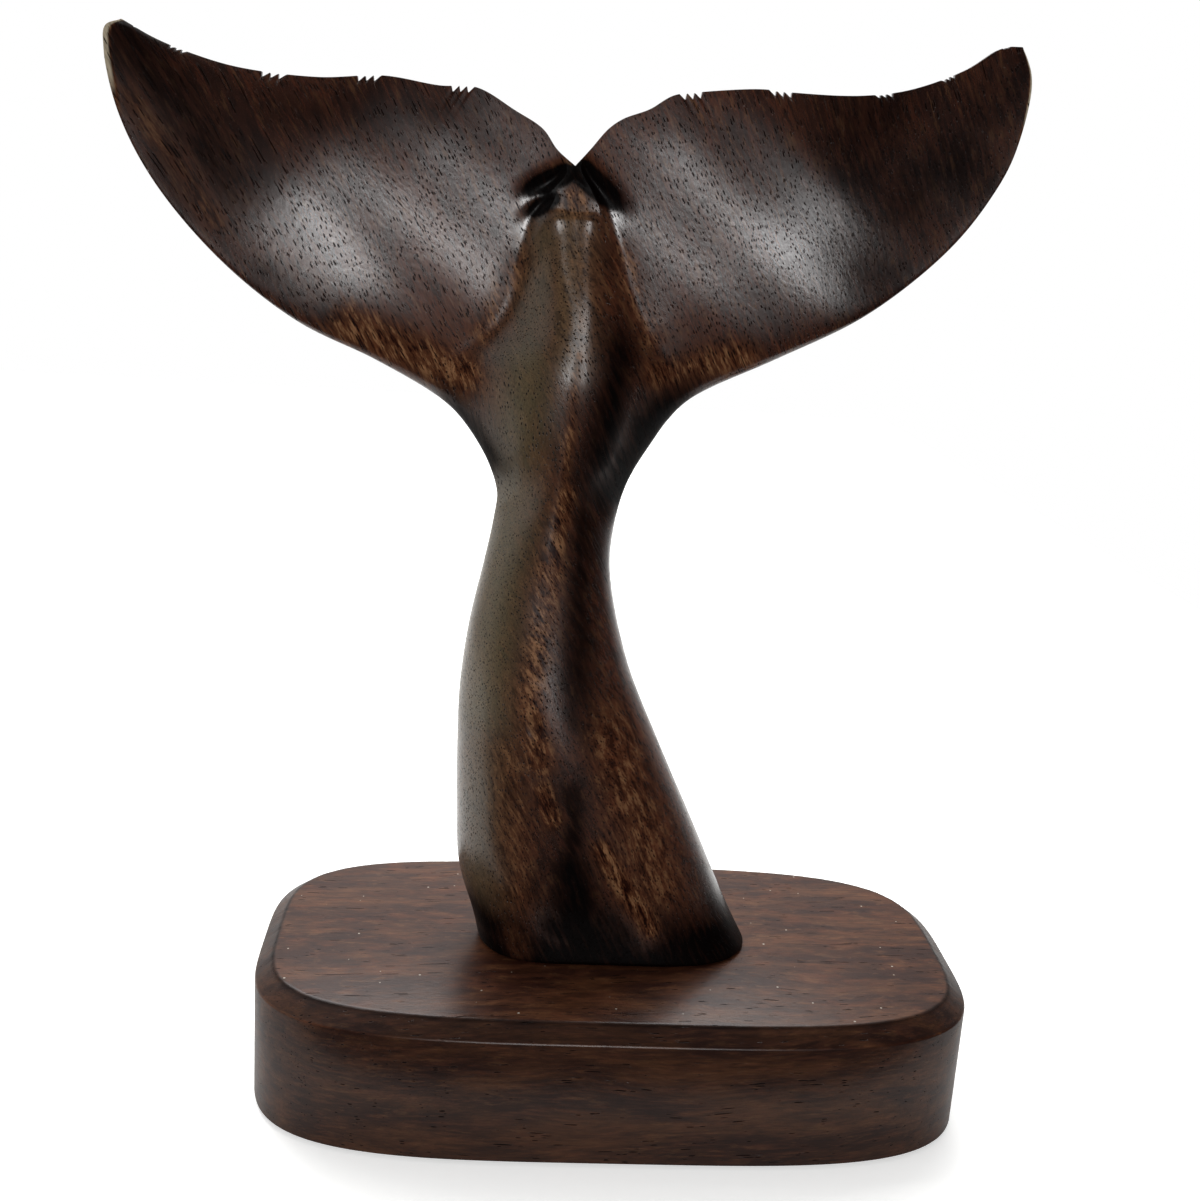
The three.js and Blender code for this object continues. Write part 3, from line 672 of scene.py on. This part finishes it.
def ragged_edge():
    """Small tears along the chamfer's upper edge, in mm, the same each time."""
    turn = np.linspace(0, 2 * np.pi, PLAN_POINTS, endpoint=False)
    counts = (31, 57, 83, 119, 167, 211)
    tears = sum(np.sin(count * turn + 1.7 * count) / math.sqrt(count) for count in counts)
    return 0.12 * tears


def base_layers():
    bottom, top = base_low.z, base_high.z
    arris = top - CHAMFER_DROP
    layers = []
    for step in range(5):
        turn = step / 4 * math.pi / 2
        layers.append((BOTTOM_ROUND * (1 - math.sin(turn)), bottom + BOTTOM_ROUND * (1 - math.cos(turn))))
    layers += [(0, arris - EDGE_WEAR), (EDGE_WEAR * 0.3, arris + EDGE_WEAR * 0.1)]
    layers += [(EDGE_WEAR * 1.2, arris + EDGE_WEAR)]
    upper = CHAMFER_INSET + ragged_edge()
    layers += [(upper - 1.2, top - 1), (upper - 0.5, top - 0.4)]
    layers += [(upper - 0.1, top - 0.12), (upper + 0.5, top)]
    return layers


points, faces = stack(base_layers(), base_size.x, base_size.y)
# painted shade on the rings: darker at the foot, on the walls, beside the lighter arris and along the
# chamfer
foot_painted_shade = [0.7, 0.5, 0.35, 0.35, 0.35]
arris_painted_shade = [0.35, 0, 0.5]
chamfer_painted_shade = [0.5, 0.75, 0.6, 0]
ring_painted_shade = foot_painted_shade + arris_painted_shade + chamfer_painted_shade
ring_dust = [0] * (len(ring_painted_shade) - 1) + [1]
base_marks = {
    "stain_and_shade_mark": np.repeat(ring_painted_shade, PLAN_POINTS),
    "dust": np.repeat(ring_dust, PLAN_POINTS),
}
base_block = make_piece("rounded_base", points, faces, "base_block", 35, base_marks)

# %% [markdown]
# ## Felt under the base
# A sheet of pressed wool felt is cut a little smaller than the block and glued under it. Its cut edge is
# slightly fuzzy.

# %% Felt
felt_low, felt_high = (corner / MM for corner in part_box("base_felt"))
felt_size = felt_high - felt_low


def felt_layers():
    turn = np.linspace(0, 2 * np.pi, PLAN_POINTS, endpoint=False)
    fuzz = 0.1 + 0.05 * (np.sin(141 * turn) + np.sin(233 * turn + 1))
    low, high = felt_low.z, felt_high.z
    return [(fuzz + 0.25, low), (fuzz, low + 0.25), (fuzz, high - 0.2), (fuzz + 0.2, high)]


points, faces = stack(felt_layers(), felt_size.x, felt_size.y)
base_felt = make_piece("felt_sheet", points, faces, "base_felt", 50)

# %% [markdown]
# ## Helpers for materials
# Colours are written as sRGB hex values, as a paint program shows them, and turned to linear light. One
# function adds a node with its settings and links. Pattern sizes are real sizes in millimetres.


# %% Material helpers
def colour(code):
    channels = [int(code[i:i + 2], 16) / 255 for i in (1, 3, 5)]
    linear = [c / 12.92 if c <= 0.04045 else ((c + 0.055) / 1.055) ** 2.4 for c in channels]
    return (*linear, 1)


def add(tree, kind, settings=None, inputs=None):
    """A node with its settings and inputs. An input that is a socket becomes a link."""
    made = tree.nodes.new(kind)
    for name, value in (settings or {}).items():
        setattr(made, name, value)
    for name, value in (inputs or {}).items():
        socket = made.inputs[name]
        if isinstance(value, bpy.types.NodeSocket):
            tree.links.new(value, socket)
        else:
            socket.default_value = value
    return made


def new_material(name):
    material = bpy.data.materials.new(name)
    material.use_nodes = True
    material.node_tree.nodes.clear()
    return material, material.node_tree


def give(piece, material):
    piece.data.materials.clear()
    piece.data.materials.append(material)


def pattern_space(tree, vector, sizes):
    """Coordinates in which a pattern of these sizes in mm, along x, y and z, is one unit large."""
    scale = [1 / (size * MM) for size in sizes]
    return add(tree, "ShaderNodeMapping", {}, {"Vector": vector, "Scale": scale}).outputs[0]


def noise(tree, vector, sizes, detail=2.0, rough=0.5, offset=0.0):
    """Noise of these sizes in mm, about 0.3 to 0.7. Each offset gives another pattern."""
    space = pattern_space(tree, vector, sizes)
    shift = (offset, offset * 1.7, -offset)
    moved = add(tree, "ShaderNodeVectorMath", {"operation": "ADD"}, {0: space, 1: shift}).outputs[0]
    made = add(tree, "ShaderNodeTexNoise", {},
               {"Vector": moved, "Scale": 1, "Detail": detail, "Roughness": rough})
    return made.outputs["Fac"]


def spread(tree, value, low, high, to_low=0.0, to_high=1.0):
    """Stretches the values between low and high softly to a new range."""
    made = add(tree, "ShaderNodeMapRange", {"interpolation_type": "SMOOTHSTEP"},
               {"Value": value, "From Min": low, "From Max": high, "To Min": to_low, "To Max": to_high})
    return made.outputs["Result"]


def combine(tree, operation, first, second):
    return add(tree, "ShaderNodeMath", {"operation": operation}, {0: first, 1: second}).outputs[0]


def blend(tree, share, first, second):
    """The first colour at share 0, the second at 1. The node's colour sockets have numbers 6, 7 and 2."""
    made = add(tree, "ShaderNodeMix", {"data_type": "RGBA"}, {"Factor": share, 6: first, 7: second})
    return made.outputs[2]


# %% [markdown]
# ## Stained and lacquered hardwood
# The wood is an open-pored hardwood such as mahogany, stained dark and rubbed with a satin lacquer. Its
# vessels are long tubes along the grain. The pattern is a solid one: space is turned until its z axis
# follows the grain, and the tubes are cells of a flat Voronoi pattern seen along it. Where the surface cuts
# along the grain they show as dashes, and where it cuts across they show as dots, as on the real carving.
#
# Slower bands give lighter and redder wood, with dark and light streaks over them. The marks of the mesh
# then choose what lies on it: umber, gold and dark pits where the stain is rubbed, an olive painted sheen
# for the wall's reflection, black for stain and for painted shade, a pale painted highlight along the tips'
# edges, and specks of dust. The lacquer is a coat over wood that hardly shines by itself. Stain, painted
# shade, rubbing and the painted sheen take the coat away, so those places look dull beside the glossy
# flukes.

# %% Grain, vessels and dust
VESSEL_SPACING = 0.72
DUST_SPACING = 9


def grain_space(tree, direction):
    """Object coordinates turned so that z follows the grain, with a slow drift."""
    coordinates = add(tree, "ShaderNodeTexCoord").outputs["Object"]
    turn = Vector(direction).normalized().rotation_difference(Vector((0, 0, 1))).to_euler()
    turned = add(tree, "ShaderNodeMapping", {}, {"Vector": coordinates, "Rotation": turn}).outputs[0]
    space = pattern_space(tree, turned, (22, 22, 50))
    drift = add(tree, "ShaderNodeTexNoise", {}, {"Vector": space, "Scale": 1, "Detail": 1}).outputs["Color"]
    moved = add(tree, "ShaderNodeVectorMath", {"operation": "MULTIPLY_ADD"},
                {0: drift, 1: (7 * MM, 7 * MM, 0), 2: turned}).outputs[0]
    return moved


def vessels(tree, grain, share):
    """1 inside an open vessel, 0 outside. Share is how much of its length stands open."""
    space = pattern_space(tree, grain, (VESSEL_SPACING,) * 3)
    cells = add(tree, "ShaderNodeTexVoronoi", {"voronoi_dimensions": "2D"},
                {"Vector": space, "Scale": 1, "Randomness": 1})
    chosen = add(tree, "ShaderNodeSeparateColor", {}, {"Color": cells.outputs["Color"]}).outputs
    length = combine(tree, "ADD", noise(tree, grain, (2.2, 2.2, 3.6), 1, 0.5, 9.4),
                     combine(tree, "MULTIPLY", chosen[1], 0.3))
    open_part = spread(tree, length, 0.78 - 0.35 * share, 0.92 - 0.35 * share)
    radius = combine(tree, "MULTIPLY", spread(tree, chosen[0], 0, 1, 0.08, 0.24), open_part)
    inside = combine(tree, "SUBTRACT", radius, cells.outputs["Distance"])
    return spread(tree, inside, -0.04, 0.05)


def mark(tree, name):
    return add(tree, "ShaderNodeAttribute", {"attribute_name": name}).outputs["Fac"]


def dust_specks(tree):
    """1 on a speck of dust, seen from above, at the places that carry the mark."""
    coordinates = add(tree, "ShaderNodeTexCoord").outputs["Object"]
    cells = add(tree, "ShaderNodeTexVoronoi", {"voronoi_dimensions": "2D"},
                {"Vector": pattern_space(tree, coordinates, (DUST_SPACING,) * 3), "Scale": 1})
    chosen = add(tree, "ShaderNodeSeparateColor", {}, {"Color": cells.outputs["Color"]}).outputs
    radius = spread(tree, chosen[0], 0.5, 1, 0, 0.04)
    specks = spread(tree, combine(tree, "SUBTRACT", radius, cells.outputs["Distance"]), 0, 0.01)
    return combine(tree, "MULTIPLY", specks, mark(tree, "dust"))


# %% Colour of the wood
# The pale edge colour is a painted highlight along the tips' edges, the olive one a painted reflection of
# the wall on the left flank, and the black one both stain and painted shade.
STREAK_DARK, STREAK_LIGHT, FIBRE_DARK = "#220e08", "#7d5638", "#120a07"
PIT_DARK, UMBER, GOLD, PAINTED_EDGE_GLINT = "#260b05", "#663f28", "#986d4c", "#c4b69e"
PAINTED_SHEEN_OLIVE, STAIN_AND_SHADE_BLACK, DUST_GREY = "#6f6449", "#060303", "#a89f92"


def wear_and_painted_light(tree, wood, mottle):
    """Wood under the painted sheen, and rubbed wood: first umber, then gold slivers between dark pits, at
    last the pale painted highlight of the tips' edges.
    """
    rubbed = mark(tree, "rubbed")
    painted_sheen_share = combine(tree, "MULTIPLY", mark(tree, "painted_sheen_mark"), 0.7)
    thinned = combine(tree, "MULTIPLY", rubbed, 0.6)
    golden = combine(tree, "MULTIPLY", spread(tree, rubbed, 0.3, 1), spread(tree, mottle, 0.5, 0.62))
    pitted = combine(tree, "MULTIPLY", rubbed, spread(tree, mottle, 0.4, 0.47, 1, 0))
    wood = blend(tree, painted_sheen_share, wood, colour(PAINTED_SHEEN_OLIVE))
    wood = blend(tree, thinned, wood, colour(UMBER))
    wood = blend(tree, golden, wood, colour(GOLD))
    wood = blend(tree, pitted, wood, colour(PIT_DARK))
    return blend(tree, spread(tree, rubbed, 1, PAINTED_GLINT_LEVEL), wood, colour(PAINTED_EDGE_GLINT))


def wood_colour(tree, grain, tones, figure, streaks, slivers, fibres):
    """Bands, red slivers, dark and light streaks, worn places and fine dark fibres."""
    dark, brown, red = (colour(tone) for tone in tones)
    bands = noise(tree, grain, figure, 3, 0.55)
    mottle = noise(tree, grain, (1.2, 3, 8), 4, 0.7, 1.3)
    wood = blend(tree, spread(tree, bands, 0.35, 0.7), dark, brown)
    wood = blend(tree, spread(tree, slivers, 0.45, 0.7, 0, 0.5), wood, red)
    wood = blend(tree, spread(tree, mottle, 0.36, 0.5, streaks, 0), wood, colour(STREAK_DARK))
    wood = blend(tree, spread(tree, mottle, 0.54, 0.66, 0, 0.7 * streaks), wood, colour(STREAK_LIGHT))
    wood = wear_and_painted_light(tree, wood, mottle)
    return blend(tree, spread(tree, fibres, 0.35, 0.75, 0, 0.4), wood, colour(FIBRE_DARK))


# %% Stain, lacquer and the whole wood
LACQUER_IOR = 1.8


def gathered_stain_and_shade(tree, slivers, tubes):
    """How black the stain and the painted shade are: in the open vessels, and where the mark says so."""
    marked = combine(tree, "MULTIPLY", mark(tree, "stain_and_shade_mark"), spread(tree, slivers, 0.3, 0.7, 1.1, 0.95))
    return combine(tree, "MAXIMUM", combine(tree, "MULTIPLY", tubes, 0.92), marked)


def lacquer_left(tree, stain_and_shade):
    """How much of the lacquer is left over stain and painted shade, the rubbed places and the painted
    sheen.
    """
    over_stain_and_shade = spread(tree, stain_and_shade, 0.3, 1, 1, 0.05)
    over_rubbed = spread(tree, mark(tree, "rubbed"), 0, 1, 1, 0.05)
    over_painted_sheen = spread(tree, mark(tree, "painted_sheen_mark"), 0, 1, 1, 0.6)
    return combine(tree, "MULTIPLY", combine(tree, "MULTIPLY", over_stain_and_shade, over_rubbed), over_painted_sheen)


def wood_relief(tree, grain, fibres, tubes):
    """The surface under the lacquer: faint fibres, small ripples from the cloth, and open vessels."""
    ripples = noise(tree, grain, (0.9, 0.9, 2.6), 2, 0.5, 5.3)
    raised = combine(tree, "ADD", combine(tree, "MULTIPLY", fibres, 0.05),
                     combine(tree, "MULTIPLY", ripples, 0.3))
    height = combine(tree, "SUBTRACT", raised, tubes)
    made = add(tree, "ShaderNodeBump", {}, {"Strength": 0.7, "Distance": 0.15 * MM, "Height": height})
    return made.outputs[0]


def stained_hardwood(name, direction, tones, figure, streaks, open_share, lacquer):
    """Tones are dark, brown and red wood. Figure is the size of the bands in mm, streaks is how strong the
    streaks are, and open share how much of the vessels stands open. Lacquer is the share of the surface
    that it covers and its roughness.
    """
    material, tree = new_material(name)
    grain = grain_space(tree, direction)
    slivers = noise(tree, grain, (1.2, 4.5, 11), 3, 0.6, 3.1)
    fibres = noise(tree, grain, (0.4, 0.4, 9), 2, 0.6, 7.7)
    tubes = vessels(tree, grain, open_share)
    stain_and_shade = gathered_stain_and_shade(tree, slivers, tubes)
    wood = wood_colour(tree, grain, tones, figure, streaks, slivers, fibres)
    # black for stain in the open vessels, and for stain and painted shade where the mark says
    wood = blend(tree, stain_and_shade, wood, colour(STAIN_AND_SHADE_BLACK))
    wood = blend(tree, dust_specks(tree), wood, colour(DUST_GREY))
    bump = wood_relief(tree, grain, fibres, tubes)
    shader = add(tree, "ShaderNodeBsdfPrincipled", {}, {
        "Base Color": wood,
        "Roughness": spread(tree, slivers, 0.3, 0.7, 0.4, 0.5),
        "Specular IOR Level": 0.04,
        "Normal": bump,
        "Coat Weight": combine(tree, "MULTIPLY", lacquer_left(tree, stain_and_shade), lacquer[0]),
        "Coat Roughness": lacquer[1],
        "Coat IOR": LACQUER_IOR,
        "Coat Normal": bump,
    })
    add(tree, "ShaderNodeOutputMaterial", {}, {"Surface": shader.outputs[0]})
    print(name, "has", len(tree.nodes), "nodes")
    return material


# %% Wood on the tail and the base
TAIL_TONES = ("#3c1e14", "#5c3322", "#6c3722")
BASE_TONES = ("#351b12", "#5a3722", "#643a26")
TAIL_GRAIN = (-0.45, -0.36, 0.85)
BASE_GRAIN = (1, 0.05, 0.03)
# glossy, with open pores and strong streaks
carved = stained_hardwood("stained_mahogany_carved", TAIL_GRAIN, TAIL_TONES,
                          figure=(14, 14, 60), streaks=0.75, open_share=0.85, lacquer=(1, 0.24))
# planed smooth, with fewer pores and a thin lacquer that looks nearly matt
planed = stained_hardwood("stained_mahogany_planed", BASE_GRAIN, BASE_TONES,
                          figure=(6, 6, 30), streaks=0.4, open_share=0.2, lacquer=(0.25, 0.28))
give(whale_tail, carved)
give(base_block, planed)

# %% [markdown]
# ## Felt and screw steel
# Felt is matted wool with no weave: short fibres in all directions, soft and dull, with a faint sheen. The
# screws are zinc plated steel, bright and slightly brushed by the turning of the wire.


# %% Felt and steel materials
def pressed_felt():
    material, tree = new_material("pressed_wool_felt")
    coordinates = add(tree, "ShaderNodeTexCoord").outputs["Object"]
    hairs = noise(tree, coordinates, (0.25, 0.25, 0.25), 4, 0.7)
    clumps = noise(tree, coordinates, (2.5, 2.5, 2.5), 3, 0.6, 2.2)
    mixed = combine(tree, "ADD", combine(tree, "MULTIPLY", hairs, 0.6),
                    combine(tree, "MULTIPLY", clumps, 0.4))
    wool = blend(tree, spread(tree, mixed, 0.35, 0.65), colour("#191614"), colour("#302b28"))
    bump = add(tree, "ShaderNodeBump", {}, {"Strength": 0.8, "Distance": 0.3 * MM, "Height": mixed})
    shader = add(tree, "ShaderNodeBsdfPrincipled", {}, {
        "Base Color": wool,
        "Roughness": 0.95,
        "Sheen Weight": 0.3,
        "Sheen Roughness": 0.5,
        "Normal": bump.outputs[0],
    })
    add(tree, "ShaderNodeOutputMaterial", {}, {"Surface": shader.outputs[0]})
    return material


def zinc_plate():
    material, tree = new_material("zinc_plated_steel")
    coordinates = add(tree, "ShaderNodeTexCoord").outputs["Object"]
    rings = noise(tree, coordinates, (3, 3, 0.2), 3, 0.6)
    cloud = noise(tree, coordinates, (2, 2, 4), 3, 0.6, 4.0)
    metal = blend(tree, spread(tree, cloud, 0.3, 0.7), colour("#a9adb2"), colour("#c9cbc9"))
    bump = add(tree, "ShaderNodeBump", {}, {"Strength": 0.3, "Distance": 0.03 * MM, "Height": rings})
    shader = add(tree, "ShaderNodeBsdfPrincipled", {}, {
        "Base Color": metal,
        "Metallic": 1,
        "Roughness": spread(tree, rings, 0.3, 0.7, 0.25, 0.42),
        "Normal": bump.outputs[0],
    })
    add(tree, "ShaderNodeOutputMaterial", {}, {"Surface": shader.outputs[0]})
    return material


give(base_felt, pressed_felt())
steel = zinc_plate()
for name in ("base_screw_left", "base_screw_right"):
    give(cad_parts[name], steel)
print("felt and steel given to", base_felt.name, "and two screws")

# %% [markdown]
# ## Studio
# The object stands on a white table in a white corner: the wall behind it and the wall on its left throw
# light back, and the open side in front and on the right is a darker room. That gives the pale bands along
# both edges of the stock and the dark flank between them. A lamp behind the camera makes the soft shine
# across both flukes. A wide one under the ceiling, behind the object, lights the base's top and throws the
# soft shadow forward. Seen directly, the surroundings are plain white: camera rays find the world at a
# strength of 1 and the table lifted a little. Mirrored rays see the white wall, so the lacquer shows it.

# %% Table
TABLE_LIFT, MIRRORED_LIFT = 0.5, 0.1  # added to the table where it is seen, and where it is mirrored


def white_table(name):
    """White card that keeps the shadow, lifted to plain white where it is seen, and a little in mirrors."""
    material, tree = new_material(name)
    paths = add(tree, "ShaderNodeLightPath").outputs
    grain = noise(tree, add(tree, "ShaderNodeTexCoord").outputs["Object"], (3, 3, 3))
    card = blend(tree, spread(tree, grain, 0.3, 0.7), colour("#f3f3f1"), colour("#f7f7f5"))
    mirrored = combine(tree, "MAXIMUM", paths["Is Glossy Ray"], paths["Is Transmission Ray"])
    lift = combine(tree, "ADD", combine(tree, "MULTIPLY", paths["Is Camera Ray"], TABLE_LIFT),
                   combine(tree, "MULTIPLY", mirrored, MIRRORED_LIFT))
    shader = add(tree, "ShaderNodeBsdfPrincipled", {}, {
        "Base Color": card,
        "Roughness": 0.8,
        "Emission Color": colour("#ffffff"),
        "Emission Strength": lift,
    })
    add(tree, "ShaderNodeOutputMaterial", {}, {"Surface": shader.outputs[0]})
    return material


def table_top(name, low, high):
    """A flat table from a low to a high corner in metres."""
    mesh = bpy.data.meshes.new(name)
    corners = [(low[0], low[1], 0), (high[0], low[1], 0), (high[0], high[1], 0), (low[0], high[1], 0)]
    mesh.from_pydata(corners, [], [(0, 1, 2, 3)])
    table = bpy.data.objects.new(name, mesh)
    bpy.context.scene.collection.objects.link(table)
    return table


# %% Lamps and room
CORNER = (-0.45, 0.85, 0.25)  # direction from the object to the corner
CORNER_EDGE, WALL_EDGE = (-0.35, 0.45), (0.5, 0.9)  # where the corner's light and the mirrored wall fade
ROOM_LIGHT, CORNER_LIGHT = 0.02, 0.65


def lamp(name, place, aim, size, watts):
    """A rectangular area lamp, with its place, aim and size in metres."""
    data = bpy.data.lights.new(name, "AREA")
    data.shape = "RECTANGLE"
    data.size, data.size_y = size
    data.energy = watts
    made = bpy.data.objects.new(name, data)
    made.location = place
    made.rotation_euler = (Vector(aim) - Vector(place)).to_track_quat("-Z", "Y").to_euler()
    bpy.context.scene.collection.objects.link(made)
    return made


def white_corner():
    """A world that is white towards the corner and dark on the open side."""
    world = bpy.data.worlds.new("white_corner")
    bpy.context.scene.world = world
    world.use_nodes = True
    tree = world.node_tree
    tree.nodes.clear()
    direction = add(tree, "ShaderNodeTexCoord").outputs["Generated"]
    towards = add(tree, "ShaderNodeVectorMath", {"operation": "DOT_PRODUCT"},
                  {0: direction, 1: Vector(CORNER).normalized()}).outputs["Value"]
    room = spread(tree, towards, *CORNER_EDGE, ROOM_LIGHT, CORNER_LIGHT)
    paths = add(tree, "ShaderNodeLightPath").outputs
    mirrored = combine(tree, "MAXIMUM", paths["Is Glossy Ray"], paths["Is Transmission Ray"])
    wall = combine(tree, "MULTIPLY", mirrored, spread(tree, towards, *WALL_EDGE))
    strength = combine(tree, "MAXIMUM", room, combine(tree, "MAXIMUM", paths["Is Camera Ray"], wall))
    light = add(tree, "ShaderNodeBackground", {}, {"Color": colour("#ffffff"), "Strength": strength})
    add(tree, "ShaderNodeOutputWorld", {}, {"Surface": light.outputs[0]})


# %% Set up the studio
table = table_top("floor", (-0.8, -0.1), (0.45, 1.5))
give(table, white_table("white_card_table"))
white_corner()
lamps = [
    lamp("lamp_behind_camera", (0.055, -1.25, 0.5), (-0.02, 0, 0.24), size=(0.4, 0.58), watts=7.5),
    lamp("ceiling_behind", (-0.15, 0.65, 1.2), (0, 0, 0.1), size=(1.2, 0.9), watts=21),
]
bpy.context.scene.view_settings.view_transform = "Standard"
print("lamps in W:", {made.name: made.data.energy for made in lamps})
